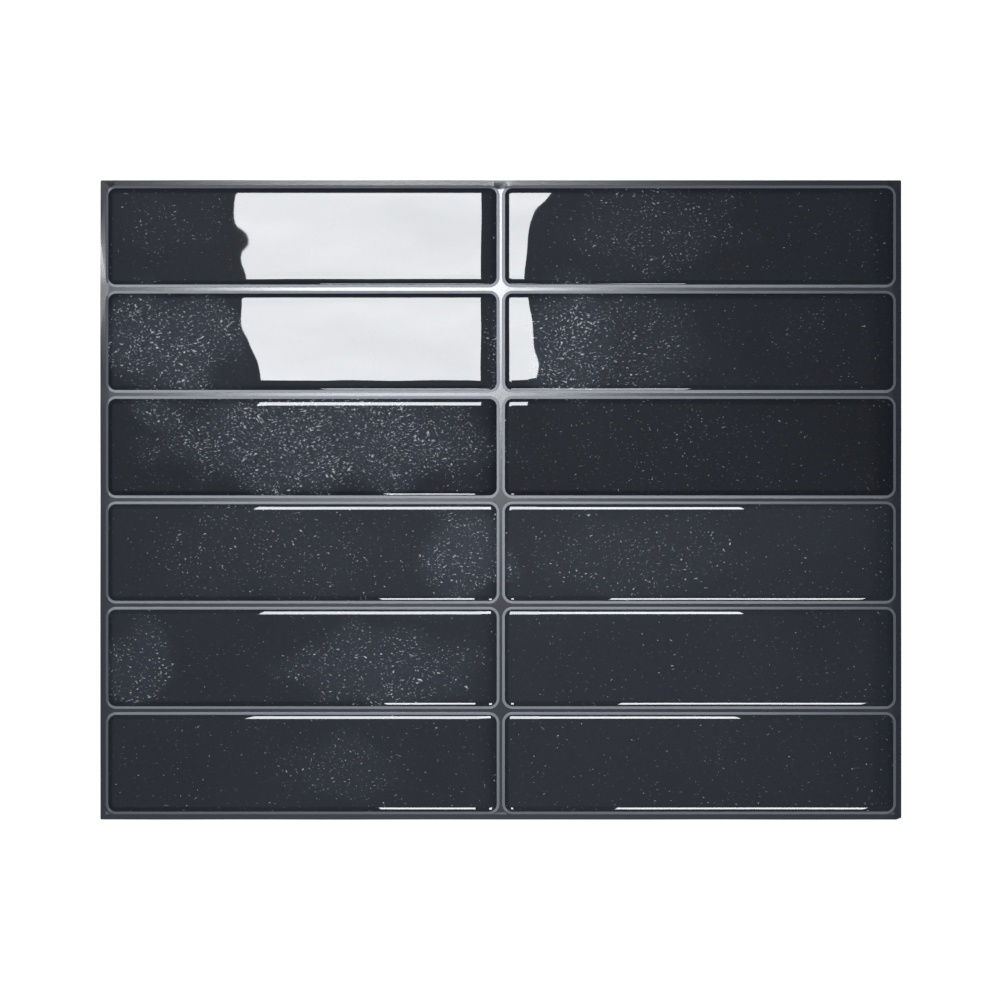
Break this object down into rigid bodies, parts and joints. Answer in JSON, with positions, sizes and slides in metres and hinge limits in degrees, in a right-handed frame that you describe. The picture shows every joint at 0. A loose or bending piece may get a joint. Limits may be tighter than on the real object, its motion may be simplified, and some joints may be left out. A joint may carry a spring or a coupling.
{
  "type": "peel and stick backsplash tile sheet",
  "caption": "Peel and stick backsplash sheet of glossy charcoal resin tiles in stacked rows, each seated in a raised satin rim, with slim dark joints between them.",
  "frame": {"origin": "middle of the release liner's underside, on the surface that the sheet lies on", "axes": "+X along the rows of tiles, the sheet's longest side; +Y towards the sheet's top edge; +Z out of the face of the tiles"},
  "size_m": [0.305, 0.2436, 0.0022],
  "materials": {
    "resin": "gloss",
    "film": "satin",
    "liner_paper": "matte"
  },
  "bodies": {
    "root": {"release_liner": "liner_paper", "backing_film": "film", "tile_row1_column1": "resin", "tile_row1_column2": "resin", "tile_row2_column1": "resin", "tile_row2_column2": "resin", "tile_row3_column1": "resin", "tile_row3_column2": "resin", "tile_row4_column1": "resin", "tile_row4_column2": "resin", "tile_row5_column1": "resin", "tile_row5_column2": "resin", "tile_row6_column1": "resin", "tile_row6_column2": "resin"}
  },
  "joints": []
}
